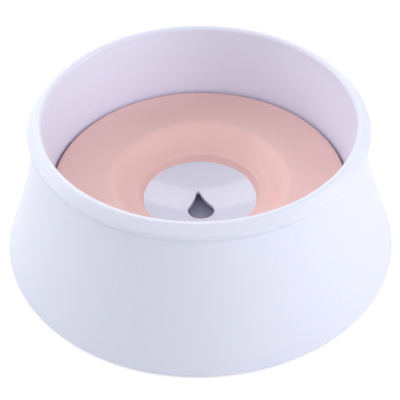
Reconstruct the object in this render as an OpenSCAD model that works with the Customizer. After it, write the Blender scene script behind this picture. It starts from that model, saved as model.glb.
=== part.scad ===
// No spill water bowl for a dog.
// A flared outer bowl holds the water, and a floating ring with a small white dish
// lies on it. Water comes up through the drop-shaped hole into the dish, so the
// animal drinks a little at a time and the rest can't slop out.
// Millimetres. The origin is on the ground, on the bowl's axis, +Z up.
// The pointed end of the drop-shaped hole looks towards +Y.

/* [Bowl] */
// Diameter of the skirt at its foot
base_d = 209.6; // [200:0.4:230]
// Height of the rim above the ground
bowl_h = 80.5; // [70:0.5:95]
// Clear diameter of the mouth, inside the rounded rim
mouth_d = 159; // [154:0.5:164]
// Width of the rim, from the mouth to its outer edge
rim_t = 7.5; // [7:0.25:10]
// Rounding of the rim's top, next to the mouth
rim_top_round = 2.2; // [1.8:0.1:2.8]
// Rounding of the rim's outer edge
rim_edge_round = 2.5; // [2:0.1:3.2]
// How far the middle of the outer edge's rounding lies below the rim's top
rim_fall = 5.4; // [4.6:0.1:7]
// How far the rim stands out past the neck of the skirt
lip_step = 2.6; // [1.5:0.1:3.2]
// Hollow rounding of the neck, between the rim and the skirt
neck_round = 3; // [2:0.25:5]
// Share of the skirt's flare that is straight, the rest curves outwards
flare_straight = 0.64; // [0.3:0.02:1]
// Wall of the basin and of the skirt
wall = 2.6; // [2:0.1:3.2]
// Height of the basin's floor above the ground
floor_z = 9.5; // [8:0.5:14]
// Inside radius between the basin's floor and its wall
basin_corner = 6; // [3:0.5:8]
// How much closer to the axis the basin's wall is at the floor than at the mouth
basin_draft = 0.6; // [0:0.1:1.5]
// Width of the hollow's root, where the skirt meets the basin
root_gap = 1.4; // [1:0.1:3]
// Width of the thick foot at the skirt's lower edge
foot_w = 5.6; // [5.2:0.2:8]
// Height of the thick foot
foot_t = 3.6; // [3:0.2:6]
// Rounding of the foot's outer edge
foot_round = 1; // [0.5:0.25:1.5]

/* [Grip ring] */
// Width of the soft ring under the foot
grip_w = 2.4; // [1.6:0.2:3]
// Depth of the groove that holds the ring
grip_groove = 1.8; // [1:0.2:2.4]
// How far the ring stands out below the foot
grip_show = 0.6; // [0.4:0.1:1]
// Clearance on each side of the ring in its groove
grip_play = 0.1; // [0.05:0.05:0.3]

/* [Float cover] */
// Radial gap between the float and the basin's wall, low down
float_play = 0.9; // [0.5:0.1:2]
// Height of the cover's outer edge above the float's feet
edge_h = 28.6; // [24:0.2:34]
// Wall of the cover
cover_t = 2; // [1.5:0.1:2.4]
// Rounding of the cover's outer edge
edge_round = 3; // [2.5:0.25:5]
// Diameter of the cover's soft crest
crest_d = 96; // [92:1:110]
// Rise of the crest over the outer edge
crest_rise = 0.3; // [0:0.1:2]
// Drop from the crest to the lip of the centre well
lip_fall = 9.3; // [7:0.1:11]
// Rounding of the well's lip
lip_round = 2.6; // [2.4:0.1:3.4]
// Diameter of the centre well where it meets the dish
well_d = 60.6; // [56:0.2:64]
// How much closer to the axis the well's wall is at the dish than at the lip
well_draft = 1.2; // [0.5:0.1:2]
// Depth of the well from its lip to the edge of the dish
well_h = 5.2; // [4.4:0.2:8]
// Height of the cover's outer wall
cover_skirt = 12; // [9:0.5:15]

/* [Float tray] */
// Wall of the tray
tray_t = 2; // [1.5:0.1:2.4]
// Rounding of the tray's lower outer edge
tray_round = 4; // [3:0.5:6]
// Depth of the dish below its edge
dish_sag = 5.3; // [2:0.1:6]
// Height and depth of the joint's tongue inside the cover
tongue_h = 3; // [2:0.5:5]
// Radial clearance of the tongue in the cover
tongue_play = 0.15; // [0.1:0.05:0.3]
// Thickness of the tongue
tongue_t = 1.5; // [1:0.1:2]
// Height of the small feet under the float
nub_h = 1.5; // [1:0.25:3]
// Diameter of each small foot
nub_d = 9; // [6:0.5:12]
// Diameter of the circle on which the small feet stand
nub_ring_d = 118; // [90:1:130]
// How many small feet there are
nub_count = 4; // [3:1:8]
// Gap between the small feet and the basin's floor
seat_gap = 0.3; // [0.2:0.05:0.6]

/* [Drop hole] */
// Width of the drop
drop_w = 14.2; // [10:0.2:18]
// Length of the drop
drop_l = 22.4; // [18:0.2:26]
// Rounding of the drop's point
drop_tip = 0.9; // [0.5:0.1:1.5]
// Radius of the drop's hollow flanks
drop_flank = 36; // [26:1:60]
// Distance of the drop's round end from the axis
drop_back = 12.2; // [9:0.2:14]
// Turn of the drop about the bowl's axis
drop_turn = 6; // [0:0.5:10]

/* [Hidden] */
$fn = 120;

// Bowl
rim_in_r = mouth_d / 2;
rim_out_r = rim_in_r + rim_t;
rim_top_mid = [rim_in_r + rim_top_round, bowl_h - rim_top_round];
rim_edge_mid = [rim_out_r - rim_edge_round, bowl_h - rim_fall];
base_r = base_d / 2;
foot_z = grip_show;
neck_r = rim_out_r - lip_step;
flare_z0 = foot_z + foot_round;
flare_rows = 14;

// Slope between the two roundings of the rim: the angle at which it touches both
rim_way = rim_edge_mid - rim_top_mid;
rim_slope = atan2(rim_way[1], rim_way[0]) + acos((rim_top_round - rim_edge_round) / norm(rim_way));

// Neck: its hollow rounding touches the rim's outer edge and the top of the skirt, which leans
// outwards. The skirt's lean depends a little on the neck's height, so it is worked out twice.
function lean(top_z) = atan(flare_straight * (base_r - neck_r) / (top_z - flare_z0));
function neck_mid_r(a) = neck_r + neck_round * cos(a);
function neck_reach(a) = pow(rim_edge_round + neck_round, 2) - pow(neck_mid_r(a) - rim_edge_mid[0], 2);
function neck_mid(a) = [neck_mid_r(a), rim_edge_mid[1] - sqrt(neck_reach(a))];
function neck_top(a) = neck_mid(a)[1] - neck_round * sin(a);
neck_lean = lean(neck_top(lean(rim_edge_mid[1])));
neck_z = neck_top(neck_lean);
neck_way = neck_mid(neck_lean) - rim_edge_mid;
neck_touch = atan2(neck_way[1], neck_way[0]);

basin_foot_r = rim_in_r - basin_draft;
under_z = floor_z - wall;
under_corner = basin_corner + wall;
basin_wall_z = floor_z + basin_corner;

// Height along the skirt as a share, 0 at the neck and 1 at the foot
function skirt_share(z) = (neck_z - z) / (neck_z - flare_z0);
function flare(t) = flare_straight * t + (1 - flare_straight) * t * t;
function skirt_r(z) = neck_r + (base_r - neck_r) * flare(skirt_share(z));

// Wall measured level, a little more than square to the sloping skirt
skirt_run = base_r - neck_r;
skirt_rise = neck_z - flare_z0;
wall_level = wall * sqrt(skirt_run * skirt_run + skirt_rise * skirt_rise) / skirt_rise;

// Inner radius of the basin at a height, and the share at which the hollow starts
function basin_r(z) = basin_foot_r + basin_draft * (z - basin_wall_z) / (rim_top_mid[1] - basin_wall_z);
root_room = rim_in_r + wall + root_gap + wall_level - neck_r;
root_bend = flare_straight * flare_straight + 4 * (1 - flare_straight) * root_room / skirt_run;
root_share = 2 * root_room / skirt_run / (flare_straight + sqrt(root_bend));
root_z = neck_z - skirt_rise * root_share;
hollow_foot_z = foot_z + foot_t;
hollow_blend = 2;
hollow_low_z = hollow_foot_z + hollow_blend;

// Grip ring
grip_mid_r = base_r - foot_w / 2 - foot_round / 2;
grip_in_r = grip_mid_r - grip_w / 2;
grip_out_r = grip_mid_r + grip_w / 2;
groove_z = foot_z + grip_groove;
grip_round = 0.4;

// Float
float_r = basin_foot_r - float_play;
float_z = floor_z + seat_gap;
tray_z = float_z + nub_h;
edge_z = float_z + edge_h;
crest_r = crest_d / 2;
crest_z = edge_z + crest_rise;
lip_z = crest_z - lip_fall;
well_r = well_d / 2;
well_top_r = well_r + well_draft;
lip_r = well_top_r + lip_round;
flat_r = float_r - edge_round;
dish_z = lip_z - well_h;
seam_z = edge_z - cover_skirt;
hub_r = well_r + cover_t;
hub_in_r = hub_r - tray_t;
tray_floor_z = tray_z + tray_t;
cover_in_r = float_r - cover_t;
tongue_out_r = cover_in_r - tongue_play;
tongue_in_r = tongue_out_r - tongue_t;
tray_wall_r = float_r - tray_t;
tray_in_round = tray_round - tray_t;
top_rows = 14;
dish_rows = 10;

// Drop hole
drop_r = drop_w / 2;
drop_mid = drop_l - drop_r - drop_tip;
flank_far = drop_r + drop_flank;
flank_near = drop_tip + drop_flank;
flank_y = (flank_far * flank_far - flank_near * flank_near + drop_mid * drop_mid) / (2 * drop_mid);
flank_x = sqrt(flank_far * flank_far - flank_y * flank_y);
bulb_angle = atan2(flank_y, flank_x);
point_angle = atan2(flank_y - drop_mid, flank_x);
cut_over = 2;

// Points of an arc about a middle, from one angle to another
function arc(mid, r, from, to, steps) =
    [for (i = [0 : steps]) let (a = from + (to - from) * i / steps) mid + r * [cos(a), sin(a)]];

// The same arc without its first point, which the line before it has
function arc_on(mid, r, from, to, steps) = [for (p = [1 : steps]) arc(mid, r, from, to, steps)[p]];

// Heights of the cover's upper face: outer band up to the crest, then down to the lip
function ease(t) = (1 - cos(180 * t)) / 2;
function band_z(r) = edge_z + crest_rise * ease((flat_r - r) / (flat_r - crest_r));
function slope_z(r) = crest_z - lip_fall * ease((crest_r - r) / (crest_r - lip_r));
function cover_z(r) = r > crest_r ? band_z(r) : slope_z(r);
function grade(r) = (cover_z(r + 0.05) - cover_z(r - 0.05)) / 0.1;
function dish_top(r) = dish_z - dish_sag * (1 - r * r / (well_r * well_r));

// Outside of the skirt, from the foot's rounded edge up to the neck
skirt_side = concat(
    arc([base_r - foot_round, flare_z0], foot_round, -90, -10, 5),
    [for (i = [0 : flare_rows - 1]) let (z = flare_z0 + skirt_rise * i / flare_rows) [skirt_r(z), z]]
);

// Rim, from the hollow neck round the outer edge and up over the top to the mouth
rim_side = concat(
    arc(neck_mid(neck_lean), neck_round, 180 + neck_lean, 180 + neck_touch, 8),
    arc_on(rim_edge_mid, rim_edge_round, neck_touch, rim_slope, 10),
    arc(rim_top_mid, rim_top_round, rim_slope, 180, 12)
);

basin_side = concat(
    arc([basin_foot_r - basin_corner, basin_wall_z], basin_corner, 0, -90, 9),
    [[0, floor_z], [0, under_z]]
);

// Underside: floor, basin's outer face, the root of the hollow and the skirt's inner face
hollow_side = concat(
    arc([basin_foot_r - basin_corner, under_z + under_corner], under_corner, -90, 0, 9),
    [[basin_r(root_z) + wall, root_z], [skirt_r(root_z) - wall_level, root_z]],
    [for (i = [1 : flare_rows]) let (z = root_z + (hollow_low_z - root_z) * i / flare_rows)
        [skirt_r(z) - wall_level, z]],
    [[base_r - foot_w, hollow_foot_z], [base_r - foot_w, foot_z]]
);

module bowl() {
    color([0.92, 0.92, 0.97])
    difference() {
        rotate_extrude() polygon(concat(skirt_side, rim_side, basin_side, hollow_side));
        rotate_extrude()
            translate([grip_in_r - grip_play, foot_z - cut_over])
            square([grip_w + 2 * grip_play, grip_groove + cut_over]);
    }
}

module grip_ring() {
    color([0.80, 0.81, 0.84])
    rotate_extrude()
        polygon(concat(
            arc([grip_in_r + grip_round, grip_round], grip_round, -180, -90, 4),
            arc([grip_out_r - grip_round, grip_round], grip_round, -90, 0, 4),
            [[grip_out_r, groove_z], [grip_in_r, groove_z]]
        ));
}

// Upper face of the cover, from its outer wall to the foot of the well
cover_face = concat(
    [[float_r, seam_z]],
    arc([flat_r, edge_z - edge_round], edge_round, 0, 90, 10),
    [for (i = [1 : top_rows]) let (r = flat_r + (crest_r - flat_r) * i / top_rows) [r, cover_z(r)]],
    [for (i = [1 : top_rows - 1]) let (r = crest_r + (lip_r - crest_r) * i / top_rows) [r, cover_z(r)]],
    arc([lip_r, lip_z - lip_round], lip_round, 90, 180, 9),
    [[well_r, dish_z]]
);

// Point of the inner face, a wall's thickness square below the upper face
function back_point(r) =
    let (g = grade(r), across = cover_t / sqrt(1 + g * g))
    [r + g * across, cover_z(r) - across];

// Inner face of the cover, back from the well to its outer wall
cover_back = concat(
    [[hub_r, dish_z], [well_top_r + cover_t, lip_z - lip_round]],
    [for (i = [0 : top_rows]) back_point(lip_r + (crest_r - lip_r) * i / top_rows)],
    [for (i = [1 : top_rows]) back_point(crest_r + (flat_r - crest_r) * i / top_rows)],
    arc([flat_r, edge_z - edge_round], edge_round - cover_t, 90, 0, 4),
    [[cover_in_r, seam_z]]
);

module float_cover() {
    color([0.90, 0.72, 0.71])
    rotate_extrude() polygon(concat(cover_face, cover_back));
}

module drop_outline() {
    polygon(concat(
        arc([0, 0], drop_r, 180 - bulb_angle, 360 + bulb_angle, 40),
        arc([flank_x, flank_y], drop_flank, 180 + bulb_angle, 180 + point_angle, 10),
        arc([0, drop_mid], drop_tip, point_angle, 180 - point_angle, 10),
        arc([-flank_x, flank_y], drop_flank, -point_angle, -bulb_angle, 10)
    ));
}

// Outside of the tray: outer wall, floor and the inside of the hub under the dish
tray_outside = concat(
    [[tongue_out_r, seam_z], [float_r, seam_z]],
    arc([float_r - tray_round, tray_z + tray_round], tray_round, 0, -90, 8),
    [[hub_in_r, tray_z], [hub_in_r, dish_top(hub_in_r) - tray_t]],
    [for (i = [1 : dish_rows]) let (r = hub_in_r * (1 - i / dish_rows)) [r, dish_top(r) - tray_t]]
);

// Inside of the tray: dish, the seat of the cover, floor, wall and tongue
tray_inside = concat(
    [for (i = [0 : dish_rows]) let (r = well_r * i / dish_rows) [r, dish_top(r)]],
    [[hub_r, dish_z], [hub_r, tray_floor_z]],
    arc([tray_wall_r - tray_in_round, tray_floor_z + tray_in_round], tray_in_round, -90, 0, 6),
    [[tray_wall_r, seam_z - tongue_h - tongue_t], [tongue_in_r, seam_z - tongue_h]],
    [[tongue_in_r, seam_z + tongue_h], [tongue_out_r, seam_z + tongue_h]]
);

module float_tray() {
    color([0.94, 0.94, 0.98])
    difference() {
        union() {
            rotate_extrude() polygon(concat(tray_outside, tray_inside));
            for (i = [0 : nub_count - 1])
                rotate(360 * (i + 0.5) / nub_count)
                    translate([nub_ring_d / 2, 0, float_z])
                    cylinder(d = nub_d, h = nub_h + tray_t / 2);
        }
        rotate(drop_turn)
            translate([0, drop_r - drop_back, tray_z - cut_over])
            linear_extrude(dish_z - tray_z + 2 * cut_over) drop_outline();
    }
}

bowl();
grip_ring();
float_cover();
float_tray();
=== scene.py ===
"""Looks of a no spill water bowl for a dog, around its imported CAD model.

Metres. The origin is on the ground, on the bowl's axis, +Z up, and the pointed end of
the drop-shaped hole looks towards +Y.
"""
from math import acos, atan, atan2, cos, degrees, dist, hypot, pi, radians, sin, sqrt

import bmesh
import bpy
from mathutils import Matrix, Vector


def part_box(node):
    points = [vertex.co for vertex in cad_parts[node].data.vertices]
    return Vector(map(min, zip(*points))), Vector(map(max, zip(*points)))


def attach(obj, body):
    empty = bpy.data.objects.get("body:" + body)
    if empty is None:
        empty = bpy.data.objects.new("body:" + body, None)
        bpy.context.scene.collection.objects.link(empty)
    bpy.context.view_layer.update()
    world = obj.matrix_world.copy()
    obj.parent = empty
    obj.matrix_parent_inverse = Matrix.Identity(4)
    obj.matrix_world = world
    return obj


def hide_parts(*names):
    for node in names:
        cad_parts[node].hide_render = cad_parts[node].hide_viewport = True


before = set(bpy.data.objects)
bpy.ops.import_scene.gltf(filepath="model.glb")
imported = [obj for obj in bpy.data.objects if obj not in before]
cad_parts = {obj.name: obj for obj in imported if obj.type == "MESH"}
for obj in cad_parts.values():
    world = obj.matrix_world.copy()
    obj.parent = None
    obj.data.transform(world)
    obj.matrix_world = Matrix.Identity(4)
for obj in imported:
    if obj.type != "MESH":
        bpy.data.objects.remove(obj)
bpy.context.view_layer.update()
MM = 0.001

# Sizes that the CAD model's parts give
bowl_low, bowl_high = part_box("bowl")
grip_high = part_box("grip_ring")[1]
cover_low, cover_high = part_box("float_cover")
tray_low, tray_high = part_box("float_tray")
BASE_R = bowl_high.x
RIM_TOP = bowl_high.z
FOOT_Z = bowl_low.z
GRIP_OUT_R = grip_high.x
GROOVE_Z = grip_high.z
FLOAT_R = cover_high.x
CREST_Z = cover_high.z
DISH_Z = cover_low.z
FLOAT_Z = tray_low.z
TONGUE_TOP = tray_high.z

# Bowl
MOUTH_R = 79.5 * MM
RIM_OUT_R = MOUTH_R + 7.5 * MM
RIM_TOP_ROUND = 2.2 * MM
RIM_TOP_MID = (MOUTH_R + RIM_TOP_ROUND, RIM_TOP - RIM_TOP_ROUND)
RIM_EDGE_ROUND = 2.5 * MM
RIM_EDGE_MID = (RIM_OUT_R - RIM_EDGE_ROUND, RIM_TOP - 5.4 * MM)
NECK_R = RIM_OUT_R - 2.6 * MM
NECK_ROUND = 3 * MM
FOOT_ROUND = 1 * MM
FLARE_Z = FOOT_Z + FOOT_ROUND
FLARE_STRAIGHT = 0.64
WALL = 2.6 * MM
WALL_LEVEL = 2.7 * MM
BASIN_FOOT_R = MOUTH_R - 0.6 * MM
BASIN_FLOOR = 9.5 * MM
BASIN_CORNER = 6 * MM
UNDER_Z = BASIN_FLOOR - WALL
ROOT_GAP = 1.4 * MM
FOOT_W = 5.6 * MM
FOOT_T = 3.6 * MM
FOOT_BLEND = 2 * MM
GATE_R = 7 * MM
GATE_DEPTH = 0.5 * MM
NIB_R = 1.2 * MM
NIB_H = 0.35 * MM

# Grip ring
GRIP_W = 2.4 * MM
GRIP_PLAY = 0.1 * MM
GRIP_ROUND = 0.4 * MM
TREAD_DEPTH = 0.25 * MM
TREAD_W = 0.3 * MM

# Float cover
EDGE_ROUND = 3 * MM
EDGE_Z = CREST_Z - 0.3 * MM
CREST_R = 48 * MM
LIP_FALL = 9.3 * MM
LIP_Z = CREST_Z - LIP_FALL
LIP_ROUND = 2.6 * MM
WELL_R = 30.3 * MM
WELL_TOP_R = WELL_R + 1.2 * MM
LIP_R = WELL_TOP_R + LIP_ROUND
FLAT_R = FLOAT_R - EDGE_ROUND
COVER_T = 2 * MM
COVER_IN_R = FLOAT_R - COVER_T
SEAM_Z = EDGE_Z - 12 * MM
SEAM_ROUND = 0.3 * MM

# Float tray
TRAY_T = 2 * MM
TRAY_Z = FLOAT_Z + 1.5 * MM
TRAY_ROUND = 4 * MM
TRAY_FLOOR = TRAY_Z + TRAY_T
HUB_R = WELL_R + COVER_T
HUB_IN_R = HUB_R - TRAY_T
DISH_SAG = 5.3 * MM
TONGUE_OUT_R = COVER_IN_R - 0.15 * MM
TONGUE_IN_R = TONGUE_OUT_R - 1.5 * MM
TONGUE_H = TONGUE_TOP - SEAM_Z
NUB_R = 4.5 * MM
NUB_ROUND = 0.5 * MM
NUB_RING_R = 59 * MM
NUB_COUNT = 4

# Drop-shaped hole
DROP_R = 7.1 * MM
DROP_TIP = 0.9 * MM
DROP_FLANK = 36 * MM
DROP_MID = 14.4 * MM
DROP_OFFSET = -5.1 * MM
DROP_TURN = 6
DROP_EDGE = 0.35 * MM
DROP_APRON_R = 17 * MM

# Meshes
TURN_STEPS = 256
NUB_STEPS = 48
MERGE = 0.001 * MM
SHARP_ANGLE = 32


# Outlines

def arc(mid, radius, start, end, steps):
    """Points of an arc about mid, from one angle to another in degrees."""
    angles = [radians(start + (end - start) * i / steps) for i in range(steps + 1)]
    return [(mid[0] + radius * cos(a), mid[1] + radius * sin(a)) for a in angles]


def way(start, end):
    """Angle of the way from one point of a section to another."""
    return atan2(end[1] - start[1], end[0] - start[0])


def between(start, end, rows):
    """Values from start to end in even steps, the end included and the start left out."""
    return [start + (end - start) * i / rows for i in range(1, rows + 1)]


def lean_below(top_z):
    """Angle by which the skirt leans outwards at its top."""
    return atan(FLARE_STRAIGHT * (BASE_R - NECK_R) / (top_z - FLARE_Z))


def neck_mid(lean):
    """Middle of the neck's hollow rounding, which touches the rim's edge and a leaning skirt."""
    r = NECK_R + NECK_ROUND * cos(lean)
    reach = RIM_EDGE_ROUND + NECK_ROUND
    return (r, RIM_EDGE_MID[1] - sqrt(reach**2 - (r - RIM_EDGE_MID[0]) ** 2))


def neck_top(lean):
    """Height at which the skirt meets the neck's rounding."""
    return neck_mid(lean)[1] - NECK_ROUND * sin(lean)


NECK_LEAN = lean_below(neck_top(lean_below(RIM_EDGE_MID[1])))
NECK_Z = neck_top(NECK_LEAN)


def skirt_r(z):
    """Radius of the skirt's outside at a height: part straight, part curving outwards."""
    share = (NECK_Z - z) / (NECK_Z - FLARE_Z)
    return NECK_R + (BASE_R - NECK_R) * (FLARE_STRAIGHT * share + (1 - FLARE_STRAIGHT) * share**2)


def ease(share):
    """A soft step from 0 to 1."""
    return (1 - cos(pi * share)) / 2


def cover_z(r):
    """Height of the cover's upper face: outer band up to the crest, then down to the lip."""
    if r > CREST_R:
        return EDGE_Z + (CREST_Z - EDGE_Z) * ease((FLAT_R - r) / (FLAT_R - CREST_R))
    return CREST_Z - LIP_FALL * ease((CREST_R - r) / (CREST_R - LIP_R))


def cover_back(r):
    """Point of the cover's inner face, a wall's thickness square below the upper one."""
    near = 0.05 * MM
    grade = (cover_z(r + near) - cover_z(r - near)) / (2 * near)
    across = COVER_T / hypot(1, grade)
    return (r + grade * across, cover_z(r) - across)


def dish_top(r):
    """Height of the dish's upper face."""
    return DISH_Z - DISH_SAG * (1 - (r / WELL_R) ** 2)


def bowl_outline():
    """The bowl's whole section, from the foot up the skirt, over the rim and underneath."""
    skirt_rows = 40
    root_r = MOUTH_R + WALL + ROOT_GAP
    levels = reversed(between(FLARE_Z, NECK_Z, 400))
    root_z = next(z for z in levels if skirt_r(z) - WALL_LEVEL >= root_r)
    hollow_z = FOOT_Z + FOOT_T
    basin_mid = (BASIN_FOOT_R - BASIN_CORNER, BASIN_FLOOR + BASIN_CORNER)
    hollow_mid = neck_mid(NECK_LEAN)
    touch = degrees(way(RIM_EDGE_MID, hollow_mid))
    apart = dist(RIM_TOP_MID, RIM_EDGE_MID)
    slope = degrees(way(RIM_TOP_MID, RIM_EDGE_MID) + acos((RIM_TOP_ROUND - RIM_EDGE_ROUND) / apart))
    groove_in_r = GRIP_OUT_R - GRIP_W - GRIP_PLAY
    groove_out_r = GRIP_OUT_R + GRIP_PLAY
    return [
        *arc((BASE_R - FOOT_ROUND, FLARE_Z), FOOT_ROUND, -90, -10, 6),
        *[(skirt_r(z), z) for z in between(FLARE_Z, NECK_Z, skirt_rows)],
        *arc(hollow_mid, NECK_ROUND, 180 + degrees(NECK_LEAN), 180 + touch, 14)[1:],
        *arc(RIM_EDGE_MID, RIM_EDGE_ROUND, touch, slope, 22)[1:],
        *arc(RIM_TOP_MID, RIM_TOP_ROUND, slope, 180, 24),
        *arc(basin_mid, BASIN_CORNER, 0, -90, 12),
        (0, BASIN_FLOOR),
        (0, UNDER_Z + GATE_DEPTH - NIB_H),
        (NIB_R, UNDER_Z + GATE_DEPTH - NIB_H),
        (NIB_R, UNDER_Z + GATE_DEPTH),
        (GATE_R, UNDER_Z + GATE_DEPTH),
        (GATE_R + GATE_DEPTH, UNDER_Z),
        *arc(basin_mid, BASIN_CORNER + WALL, -90, 0, 14),
        (root_r - ROOT_GAP, root_z),
        *arc((root_r - ROOT_GAP / 2, root_z), ROOT_GAP / 2, 180, 0, 8)[1:],
        *[(skirt_r(z) - WALL_LEVEL, z) for z in between(root_z, hollow_z + FOOT_BLEND, skirt_rows)],
        (BASE_R - FOOT_W, hollow_z),
        *arc((BASE_R - FOOT_W + GRIP_ROUND, FOOT_Z + GRIP_ROUND), GRIP_ROUND, 180, 270, 4),
        (groove_in_r, FOOT_Z),
        (groove_in_r, GROOVE_Z),
        (groove_out_r, GROOVE_Z),
        (groove_out_r, FOOT_Z),
    ]


def grip_outline():
    """Section of the soft ring, with two fine grooves in its tread."""
    in_r = GRIP_OUT_R - GRIP_W
    treads = [in_r + GRIP_W * share for share in (1 / 3, 2 / 3)]
    return [
        *arc((in_r + GRIP_ROUND, GRIP_ROUND), GRIP_ROUND, -180, -90, 5),
        *[
            (r + side * TREAD_W / 2, level)
            for r in treads
            for side, level in ((-1, 0), (-0.6, TREAD_DEPTH), (0.6, TREAD_DEPTH), (1, 0))
        ],
        *arc((GRIP_OUT_R - GRIP_ROUND, GRIP_ROUND), GRIP_ROUND, -90, 0, 5),
        (GRIP_OUT_R, GROOVE_Z),
        (in_r, GROOVE_Z),
    ]


def cover_outline():
    """Section of the cover: seam, outer edge, crest, lip and well, and back a wall below."""
    band = between(FLAT_R, CREST_R, 30)
    slope = between(CREST_R, LIP_R, 26)[:-1]
    return [
        (FLOAT_R - SEAM_ROUND, SEAM_Z),
        (FLOAT_R, SEAM_Z + SEAM_ROUND),
        *arc((FLAT_R, EDGE_Z - EDGE_ROUND), EDGE_ROUND, 0, 90, 16),
        *[(r, cover_z(r)) for r in band + slope],
        *arc((LIP_R, LIP_Z - LIP_ROUND), LIP_ROUND, 90, 180, 14),
        (WELL_R, DISH_Z),
        (HUB_R, DISH_Z),
        (WELL_TOP_R + COVER_T, LIP_Z - LIP_ROUND),
        *[cover_back(r) for r in [LIP_R] + between(LIP_R, CREST_R, 24) + between(CREST_R, FLAT_R, 20)],
        *arc((FLAT_R, EDGE_Z - EDGE_ROUND), EDGE_ROUND - COVER_T, 90, 0, 5),
        (COVER_IN_R, SEAM_Z),
    ]


def tray_outline():
    """Section of the tray from the dish's upper face round to its lower one, open at the drop."""
    inner_round = TRAY_ROUND - TRAY_T
    return [
        *[(r, dish_top(r)) for r in [DROP_APRON_R] + between(DROP_APRON_R, WELL_R, 14)],
        (HUB_R, DISH_Z),
        (HUB_R, TRAY_FLOOR),
        *arc((FLOAT_R - TRAY_T - inner_round, TRAY_FLOOR + inner_round), inner_round, -90, 0, 6),
        (FLOAT_R - TRAY_T, SEAM_Z - TONGUE_H - (TONGUE_OUT_R - TONGUE_IN_R)),
        (TONGUE_IN_R, SEAM_Z - TONGUE_H),
        (TONGUE_IN_R, TONGUE_TOP),
        (TONGUE_OUT_R, TONGUE_TOP),
        (TONGUE_OUT_R, SEAM_Z),
        (FLOAT_R - SEAM_ROUND, SEAM_Z),
        (FLOAT_R, SEAM_Z - SEAM_ROUND),
        *arc((FLOAT_R - TRAY_ROUND, TRAY_Z + TRAY_ROUND), TRAY_ROUND, 0, -90, 12),
        (HUB_IN_R, TRAY_Z),
        *[(r, dish_top(r) - TRAY_T) for r in [HUB_IN_R] + between(HUB_IN_R, DROP_APRON_R, 12)],
    ]


def nub_outline():
    """Section of a small foot, from the middle of its tread up into the tray's floor."""
    return [
        (0, FLOAT_Z),
        *arc((NUB_R - NUB_ROUND, FLOAT_Z + NUB_ROUND), NUB_ROUND, -90, 0, 4),
        (NUB_R, TRAY_Z + TRAY_T / 2),
        (0, TRAY_Z + TRAY_T / 2),
    ]


def drop_outline():
    """Outline of the drop in plan: round end, hollow flanks and a small round point."""
    far, near = DROP_R + DROP_FLANK, DROP_TIP + DROP_FLANK
    flank_y = (far**2 - near**2 + DROP_MID**2) / (2 * DROP_MID)
    flank_x = sqrt(far**2 - flank_y**2)
    bulb = degrees(atan2(flank_y, flank_x))
    point = degrees(atan2(flank_y - DROP_MID, flank_x))
    bulb_steps, tip_steps = 114, 14
    flank_steps = (TURN_STEPS - bulb_steps - tip_steps) // 2
    loop = [
        *arc((0, 0), DROP_R, 180 - bulb, 360 + bulb, bulb_steps)[:-1],
        *arc((flank_x, flank_y), DROP_FLANK, 180 + bulb, 180 + point, flank_steps)[:-1],
        *arc((0, DROP_MID), DROP_TIP, point, 180 - point, tip_steps)[:-1],
        *arc((-flank_x, flank_y), DROP_FLANK, -point, -bulb, flank_steps)[:-1],
    ]
    turn = radians(DROP_TURN)
    return [
        (x * cos(turn) - (y + DROP_OFFSET) * sin(turn), x * sin(turn) + (y + DROP_OFFSET) * cos(turn))
        for x, y in loop
    ]


# Shapes

def wire(shape, points, closed):
    """Adds a line of vertices and edges to a shape and returns both."""
    verts = [shape.verts.new(p) for p in points]
    pairs = list(zip(verts, verts[1:])) + ([(verts[-1], verts[0])] if closed else [])
    return verts, [shape.edges.new(pair) for pair in pairs]


def turned(outline, closed=True, steps=TURN_STEPS):
    """A shape turned about the bowl's axis from its section."""
    shape = bmesh.new()
    verts, edges = wire(shape, [(r, 0, z) for r, z in outline], closed)
    bmesh.ops.spin(
        shape, geom=verts + edges, cent=(0, 0, 0), axis=(0, 0, 1), dvec=(0, 0, 0),
        angle=2 * pi, steps=steps, use_merge=True, use_duplicate=False,
    )
    bmesh.ops.remove_doubles(shape, verts=shape.verts, dist=MERGE)
    return shape


def open_loops(shape):
    """The open edges of a shape, upper ones first."""
    edges = [e for e in shape.edges if len(e.link_faces) == 1]
    middle = sum(e.verts[0].co.z for e in edges) / len(edges)
    upper = [e for e in edges if e.verts[0].co.z > middle]
    lower = [e for e in edges if e.verts[0].co.z <= middle]
    return upper, lower


def united(body, addition):
    """One closed shape of two that overlap."""
    scene = bpy.context.scene
    parts = []
    for shape in (body, addition):
        bmesh.ops.recalc_face_normals(shape, faces=shape.faces)
        mesh = bpy.data.meshes.new("overlap")
        shape.to_mesh(mesh)
        shape.free()
        parts.append(bpy.data.objects.new("overlap", mesh))
        scene.collection.objects.link(parts[-1])
    union = parts[0].modifiers.new("union", "BOOLEAN")
    union.operation = "UNION"
    union.solver = "EXACT"
    union.object = parts[1]
    bpy.context.view_layer.update()
    whole = bmesh.new()
    whole.from_object(parts[0], bpy.context.evaluated_depsgraph_get())
    for part in parts:
        mesh = part.data
        bpy.data.objects.remove(part, do_unlink=True)
        bpy.data.meshes.remove(mesh)
    return whole


def nub_ring():
    """The small feet on their circle, sunk halfway into the tray's floor."""
    ring = bmesh.new()
    for i in range(NUB_COUNT):
        nub = turned(nub_outline(), closed=False, steps=NUB_STEPS)
        angle = 2 * pi * (i + 0.5) / NUB_COUNT
        place_of_nub = (NUB_RING_R * cos(angle), NUB_RING_R * sin(angle), 0)
        bmesh.ops.translate(nub, verts=nub.verts, vec=place_of_nub)
        mesh = bpy.data.meshes.new("nub")
        nub.to_mesh(mesh)
        nub.free()
        ring.from_mesh(mesh)
        bpy.data.meshes.remove(mesh)
    return ring


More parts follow.
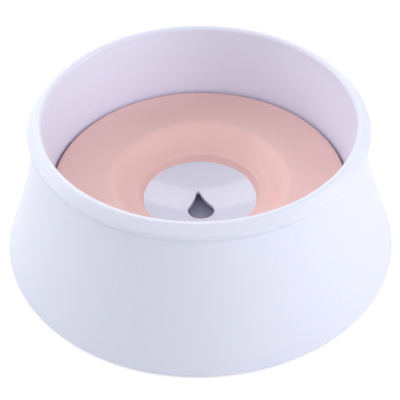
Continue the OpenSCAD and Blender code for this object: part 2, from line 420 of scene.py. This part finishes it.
def tray_shape():
    """The tray with its small feet, and with the drop-shaped hole let into its dish."""
    shape = turned(tray_outline(), closed=False)
    apron_rows = 7
    drops = []
    for rim, fall in zip(open_loops(shape), (0, TRAY_T)):
        points = [(x, y, dish_top(hypot(x, y)) - fall) for x, y in drop_outline()]
        _, drop = wire(shape, points, closed=True)
        apron = bmesh.ops.bridge_loops(shape, edges=rim + drop)
        rows = bmesh.ops.subdivide_edgering(
            shape, edges=apron["edges"], interp_mode="LINEAR", cuts=apron_rows, profile_shape="LINEAR",
        )
        inner = {v for f in rows["faces"] for v in f.verts}
        for vert in inner:
            vert.co.z = dish_top(hypot(vert.co.x, vert.co.y)) - fall
        drops.append(drop)
    bmesh.ops.bridge_loops(shape, edges=drops[0] + drops[1])
    bmesh.ops.bevel(
        shape, geom=drops[0] + drops[1], offset=DROP_EDGE, offset_type="OFFSET", segments=4,
        profile=0.5, affect="EDGES", material=-1, clamp_overlap=True,
    )
    return united(shape, nub_ring())


def place(name, shape, material):
    """Makes an object of a finished shape, smooth but for its true edges."""
    bmesh.ops.remove_doubles(shape, verts=shape.verts, dist=MERGE)
    bmesh.ops.recalc_face_normals(shape, faces=shape.faces)
    mesh = bpy.data.meshes.new(name)
    shape.to_mesh(mesh)
    shape.free()
    mesh.shade_smooth()
    mesh.set_sharp_from_angle(angle=radians(SHARP_ANGLE))
    mesh.materials.append(material)
    piece = bpy.data.objects.new(name, mesh)
    bpy.context.scene.collection.objects.link(piece)
    return piece


def stand_for(piece, node, body):
    """The piece takes the place of a CAD node, on that node's body."""
    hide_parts(node)
    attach(piece, body)


# Materials

def new_group(name, inputs, outputs):
    """A shader node group with its sockets, and its group input and output nodes."""
    group = bpy.data.node_groups.new(name, "ShaderNodeTree")
    for label, kind, value in inputs:
        socket = group.interface.new_socket(label, in_out="INPUT", socket_type=kind)
        socket.default_value = value
    for label, kind in outputs:
        group.interface.new_socket(label, in_out="OUTPUT", socket_type=kind)
    return group, group.nodes.new("NodeGroupInput"), group.nodes.new("NodeGroupOutput")


def maths(tree, operation, first, second=None):
    """A maths node of two values or sockets, and its result."""
    node = tree.nodes.new("ShaderNodeMath")
    node.operation = operation
    for socket, value in zip(node.inputs, (first, second)):
        if isinstance(value, bpy.types.NodeSocket):
            tree.links.new(value, socket)
        elif value is not None:
            socket.default_value = value
    return node.outputs[0]


def noise(tree, vector, scale, detail=2.0):
    """Noise on a vector, from about 0 to 1."""
    node = tree.nodes.new("ShaderNodeTexNoise")
    node.inputs["Scale"].default_value = scale
    node.inputs["Detail"].default_value = detail
    tree.links.new(vector, node.inputs["Vector"])
    return node.outputs["Fac"]


FLOAT, COLOR = "NodeSocketFloat", "NodeSocketColor"
PLAIN = (0.8, 0.8, 0.8, 1)
CLOUD_SCALE = 22.0
MARK_SCALE, MARK_DETAIL = 60.0, 5.0
GRAIN_SCALE, GRAIN_DETAIL = 2500.0, 1.0
WAVE_SCALE, WAVE_DETAIL = 130.0, 0.0
RUB_SCALE, RUB_DETAIL = 350.0, 4.0
SHADE_SAMPLES = 6


def moulded_skin_group():
    """Skin of a moulded piece: faint clouds in its colour, a fine grain, soft waves and gloss marks."""
    group, given, out = new_group(
        "moulded_skin",
        [
            ("Color", COLOR, PLAIN), ("Cloud", FLOAT, 0.02), ("Roughness", FLOAT, 0.3),
            ("Gloss Marks", FLOAT, 0.04), ("Grain", FLOAT, 0.5), ("Waves", FLOAT, 0.5),
        ],
        [("Color", COLOR), ("Roughness", FLOAT), ("Height", FLOAT)],
    )
    place_on = group.nodes.new("ShaderNodeTexCoord").outputs["Object"]
    clouds = maths(group, "SUBTRACT", noise(group, place_on, CLOUD_SCALE), 0.5)
    tint = maths(group, "ADD", 1.0, maths(group, "MULTIPLY", clouds, given.outputs["Cloud"]))
    shaded = group.nodes.new("ShaderNodeVectorMath")
    shaded.operation = "SCALE"
    group.links.new(given.outputs["Color"], shaded.inputs[0])
    group.links.new(tint, shaded.inputs["Scale"])
    group.links.new(shaded.outputs[0], out.inputs["Color"])
    marks = maths(group, "SUBTRACT", noise(group, place_on, MARK_SCALE, MARK_DETAIL), 0.5)
    gloss = maths(group, "MULTIPLY", marks, given.outputs["Gloss Marks"])
    group.links.new(maths(group, "ADD", given.outputs["Roughness"], gloss), out.inputs["Roughness"])
    specks = noise(group, place_on, GRAIN_SCALE, GRAIN_DETAIL)
    grain = maths(group, "MULTIPLY", specks, given.outputs["Grain"])
    swells = noise(group, place_on, WAVE_SCALE, WAVE_DETAIL)
    waves = maths(group, "MULTIPLY", swells, given.outputs["Waves"])
    group.links.new(maths(group, "ADD", grain, waves), out.inputs["Height"])
    return group


def edge_rub_group():
    """Mask of light rubbing around one height of a piece, such as a rim's crown or a foot."""
    group, given, out = new_group(
        "edge_rub",
        [("Level", FLOAT, 0.0), ("Reach", FLOAT, 0.002), ("Strength", FLOAT, 1.0)],
        [("Mask", FLOAT)],
    )
    place_on = group.nodes.new("ShaderNodeTexCoord").outputs["Object"]
    parts = group.nodes.new("ShaderNodeSeparateXYZ")
    group.links.new(place_on, parts.inputs[0])
    away = maths(group, "ABSOLUTE", maths(group, "SUBTRACT", parts.outputs["Z"], given.outputs["Level"]))
    near = maths(group, "SUBTRACT", 1.0, maths(group, "DIVIDE", away, given.outputs["Reach"]))
    band = maths(group, "MAXIMUM", near, 0.0)
    broken = maths(group, "MULTIPLY", band, noise(group, place_on, RUB_SCALE, RUB_DETAIL))
    group.links.new(maths(group, "MULTIPLY", broken, given.outputs["Strength"]), out.inputs["Mask"])
    return group


def painted_shade_group():
    """Paints shade into the colour: the shade colour in enclosed places, standing in for shade and for
    light scattered in pale plastic.
    """
    group, given, out = new_group(
        "painted_shade",
        [
            ("Color", COLOR, PLAIN), ("Painted Shade Color", COLOR, PLAIN),
            ("Reach", FLOAT, 0.05), ("Open", FLOAT, 0.5),
        ],
        [("Color", COLOR)],
    )
    around = group.nodes.new("ShaderNodeAmbientOcclusion")
    around.samples = SHADE_SAMPLES
    group.links.new(given.outputs["Reach"], around.inputs["Distance"])
    openness = group.nodes.new("ShaderNodeMapRange")
    group.links.new(around.outputs["AO"], openness.inputs["Value"])
    group.links.new(given.outputs["Open"], openness.inputs["From Max"])
    tint = group.nodes.new("ShaderNodeMix")
    tint.data_type = "RGBA"
    group.links.new(openness.outputs["Result"], tint.inputs["Factor"])
    group.links.new(given.outputs["Painted Shade Color"], tint.inputs["A"])
    group.links.new(given.outputs["Color"], tint.inputs["B"])
    group.links.new(tint.outputs["Result"], out.inputs["Color"])
    return group


MOULDED_SKIN = moulded_skin_group()
EDGE_RUB = edge_rub_group()
# Group that paints shade into the colour of enclosed places
PAINTED_SHADE = painted_shade_group()


def add_group(tree, group, values):
    """Places a node group in a material with its own values."""
    node = tree.nodes.new("ShaderNodeGroup")
    node.node_tree = group
    for label, value in values.items():
        node.inputs[label].default_value = value
    return node


PLASTIC_IOR = 1.49
RELIEF_DEPTH = 0.1 * MM
# Painted shade: how far round a point the walls that enclose it count, and how open a point shows the
# plain colour
SHADE_REACH = 50 * MM
SHADE_START = 0.6


def moulded_piece(name, color, roughness, bump, skin, rub=None, shade_paint=None):
    """A moulded surface and its skin, with rubbing, or with shade painted into its colour in enclosed
    places, where it has them.
    """
    material = bpy.data.materials.new(name)
    material.use_nodes = True
    tree = material.node_tree
    surface = tree.nodes["Principled BSDF"]
    surface.inputs["IOR"].default_value = PLASTIC_IOR
    skinned = add_group(tree, MOULDED_SKIN, {"Color": (*color, 1), "Roughness": roughness, **skin})
    shown = skinned.outputs["Color"]
    # Shade painted into the colour in enclosed places
    if shade_paint:
        shade_paint_inputs = {"Painted Shade Color": (*shade_paint, 1), "Reach": SHADE_REACH, "Open": SHADE_START}
        shade_paint_node = add_group(tree, PAINTED_SHADE, shade_paint_inputs)
        tree.links.new(shown, shade_paint_node.inputs["Color"])
        shown = shade_paint_node.outputs["Color"]
    tree.links.new(shown, surface.inputs["Base Color"])
    rough = skinned.outputs["Roughness"]
    if rub:
        worn = add_group(tree, EDGE_RUB, rub)
        rough = maths(tree, "ADD", rough, worn.outputs["Mask"])
    tree.links.new(rough, surface.inputs["Roughness"])
    relief = tree.nodes.new("ShaderNodeBump")
    relief.inputs["Strength"].default_value = bump
    relief.inputs["Distance"].default_value = RELIEF_DEPTH
    tree.links.new(skinned.outputs["Height"], relief.inputs["Height"])
    tree.links.new(relief.outputs["Normal"], surface.inputs["Normal"])
    return material


COOL_WHITE = (0.79, 0.81, 0.945)
# Bluer colour painted into enclosed places as shade
PAINTED_SHADE_WHITE = (0.75, 0.745, 0.98)
PALE_PINK = (0.87, 0.57, 0.535)
SOFT_GREY = (0.62, 0.63, 0.67)


def bowl_material():
    """Cool white semi-gloss plastic, a little dulled on the rim's crown, with shade painted into its
    colour in enclosed places.
    """
    return moulded_piece(
        "bowl_semi_gloss_white", COOL_WHITE, roughness=0.40, bump=0.12,
        skin={"Cloud": 0.02, "Gloss Marks": 0.06, "Grain": 0.25, "Waves": 0.6},
        rub={"Level": RIM_TOP, "Reach": 3 * MM, "Strength": 0.12}, shade_paint=PAINTED_SHADE_WHITE,
    )


def cover_material():
    """Pale pink satin plastic with a fine spark-eroded grain, a little dulled on the crest."""
    return moulded_piece(
        "cover_satin_pink", PALE_PINK, roughness=0.46, bump=0.22,
        skin={"Cloud": 0.03, "Gloss Marks": 0.06, "Grain": 1.0, "Waves": 0.4},
        rub={"Level": CREST_Z, "Reach": 1.2 * MM, "Strength": 0.08},
    )


def tray_material():
    """Cool white gloss plastic, with shade painted into its colour in enclosed places."""
    return moulded_piece(
        "tray_gloss_white", COOL_WHITE, roughness=0.09, bump=0.06,
        skin={"Cloud": 0.015, "Gloss Marks": 0.03, "Grain": 0.1, "Waves": 0.5}, shade_paint=PAINTED_SHADE_WHITE,
    )


def grip_material():
    """Pale grey soft rubber, matt, and duller still on its tread."""
    return moulded_piece(
        "grip_soft_grey", SOFT_GREY, roughness=0.72, bump=0.4,
        skin={"Cloud": 0.05, "Gloss Marks": 0.10, "Grain": 1.5, "Waves": 0.5},
        rub={"Level": 0.0, "Reach": 1 * MM, "Strength": 0.15},
    )


# Camera, stage and light

CAMERA_BACK = 443.7 * MM
CAMERA_UP = 413.1 * MM
CAMERA_DOWN = 41.384
CAMERA_ROLL = -0.73
CAMERA_LENS = 98.57
SENSOR_WIDTH = 36
NEAREST_SEEN = 10 * MM


def add_camera():
    """The camera at the photograph's place, height and angle of view."""
    data = bpy.data.cameras.new("camera")
    data.lens = CAMERA_LENS
    data.sensor_width = SENSOR_WIDTH
    data.clip_start = NEAREST_SEEN
    camera = bpy.data.objects.new("camera", data)
    camera.location = (0, -CAMERA_BACK, CAMERA_UP)
    camera.rotation_mode = "ZXY"
    camera.rotation_euler = (radians(90 - CAMERA_DOWN), 0, radians(CAMERA_ROLL))
    bpy.context.scene.collection.objects.link(camera)
    bpy.context.scene.camera = camera


def seen_ray(tree):
    """1 for camera and transmission rays, which see the white background, and less for glossy ones."""
    path = tree.nodes.new("ShaderNodeLightPath")
    seen = maths(tree, "MAXIMUM", path.outputs["Is Camera Ray"], path.outputs["Is Transmission Ray"])
    mirrored = maths(tree, "MULTIPLY", path.outputs["Is Glossy Ray"], MIRRORED_WHITE)
    return maths(tree, "MAXIMUM", seen, mirrored)


ROOM_LIGHT = 0.23
MIRRORED_WHITE = 0.5
LAMP_DISTANCE = 1.1
LAMPS = [
    # name, azimuth from +X and elevation in degrees, width and height in metres, power in watts
    ("lamp_left", 160, 30, 0.7, 0.7, 6.3),
    ("lamp_right", -10, 20, 0.7, 0.7, 5.0),
    ("lamp_right_front", -30, 35, 0.7, 0.7, 1.3),
    ("lamp_back", 90, 36, 1.25, 0.8, 6.0),
    ("lamp_front", -90, 42, 1.25, 1.1, 4.7),
]


def add_world():
    """White where it is seen, and a softer room light where it lights the bowl."""
    world = bpy.data.worlds.new("studio")
    bpy.context.scene.world = world
    world.use_nodes = True
    tree = world.node_tree
    room = tree.nodes["Background"]
    room.inputs["Color"].default_value = (ROOM_LIGHT, ROOM_LIGHT, ROOM_LIGHT, 1)
    white = tree.nodes.new("ShaderNodeBackground")
    white.inputs["Color"].default_value = (1, 1, 1, 1)
    mix = tree.nodes.new("ShaderNodeMixShader")
    tree.links.new(seen_ray(tree), mix.inputs[0])
    tree.links.new(room.outputs[0], mix.inputs[1])
    tree.links.new(white.outputs[0], mix.inputs[2])
    tree.links.new(mix.outputs[0], tree.nodes["World Output"].inputs["Surface"])


def add_lamps():
    """Soft boxes that look at the middle of the bowl."""
    aim = Vector((0, 0, RIM_TOP / 2))
    for name, azimuth, elevation, width, height, power in LAMPS:
        data = bpy.data.lights.new(name, "AREA")
        data.shape = "RECTANGLE"
        data.size = width
        data.size_y = height
        data.energy = power
        lamp = bpy.data.objects.new(name, data)
        around, up = radians(azimuth), radians(elevation)
        towards = Vector((cos(around) * cos(up), sin(around) * cos(up), sin(up)))
        lamp.location = aim + LAMP_DISTANCE * towards
        lamp.rotation_euler = (aim - lamp.location).to_track_quat("-Z", "Y").to_euler()
        bpy.context.scene.collection.objects.link(lamp)


FLOOR_WIDTH = 4.0
FLOOR_PALE = 0.85
FLOOR_GLOW = 0.35
FADE_START = 0.35
FADE_END = 0.7


def seen_distance(tree):
    """0 round the bowl and 1 far from it, for camera rays, so that the floor runs into the white."""
    place_on_floor = tree.nodes.new("ShaderNodeTexCoord")
    distance = tree.nodes.new("ShaderNodeVectorMath")
    distance.operation = "LENGTH"
    tree.links.new(place_on_floor.outputs["Object"], distance.inputs[0])
    fade = tree.nodes.new("ShaderNodeMapRange")
    fade.inputs["From Min"].default_value = FADE_START
    fade.inputs["From Max"].default_value = FADE_END
    tree.links.new(distance.outputs["Value"], fade.inputs["Value"])
    path = tree.nodes.new("ShaderNodeLightPath")
    return maths(tree, "MULTIPLY", path.outputs["Is Camera Ray"], fade.outputs["Result"])


def add_floor():
    """A plain pale floor that looks white and keeps the bowl's soft shadow."""
    shape = bmesh.new()
    bmesh.ops.create_grid(shape, x_segments=1, y_segments=1, size=FLOOR_WIDTH / 2)
    mesh = bpy.data.meshes.new("floor")
    shape.to_mesh(mesh)
    shape.free()
    floor = bpy.data.objects.new("floor", mesh)
    bpy.context.scene.collection.objects.link(floor)
    material = bpy.data.materials.new("floor_paper")
    material.use_nodes = True
    tree = material.node_tree
    tree.nodes.remove(tree.nodes["Principled BSDF"])
    paper = tree.nodes.new("ShaderNodeBsdfDiffuse")
    paper.inputs["Color"].default_value = (FLOOR_PALE, FLOOR_PALE, FLOOR_PALE, 1)
    glow = tree.nodes.new("ShaderNodeEmission")
    tree.links.new(maths(tree, "MULTIPLY", seen_ray(tree), FLOOR_GLOW), glow.inputs["Strength"])
    both = tree.nodes.new("ShaderNodeAddShader")
    tree.links.new(paper.outputs[0], both.inputs[0])
    tree.links.new(glow.outputs[0], both.inputs[1])
    far = tree.nodes.new("ShaderNodeEmission")
    blend = tree.nodes.new("ShaderNodeMixShader")
    tree.links.new(seen_distance(tree), blend.inputs[0])
    tree.links.new(both.outputs[0], blend.inputs[1])
    tree.links.new(far.outputs[0], blend.inputs[2])
    tree.links.new(blend.outputs[0], tree.nodes["Material Output"].inputs["Surface"])
    mesh.materials.append(material)


bpy.context.scene.view_settings.view_transform = "Standard"
add_camera()
add_world()
add_lamps()
add_floor()

# Pieces

bowl_piece = place("bowl_moulding", turned(bowl_outline()), bowl_material())
grip_piece = place("grip_moulding", turned(grip_outline()), grip_material())
cover_piece = place("cover_moulding", turned(cover_outline()), cover_material())
tray_piece = place("tray_moulding", tray_shape(), tray_material())
stand_for(bowl_piece, "bowl", "bowl")
stand_for(grip_piece, "grip_ring", "bowl")
stand_for(cover_piece, "float_cover", "float")
stand_for(tray_piece, "float_tray", "float")
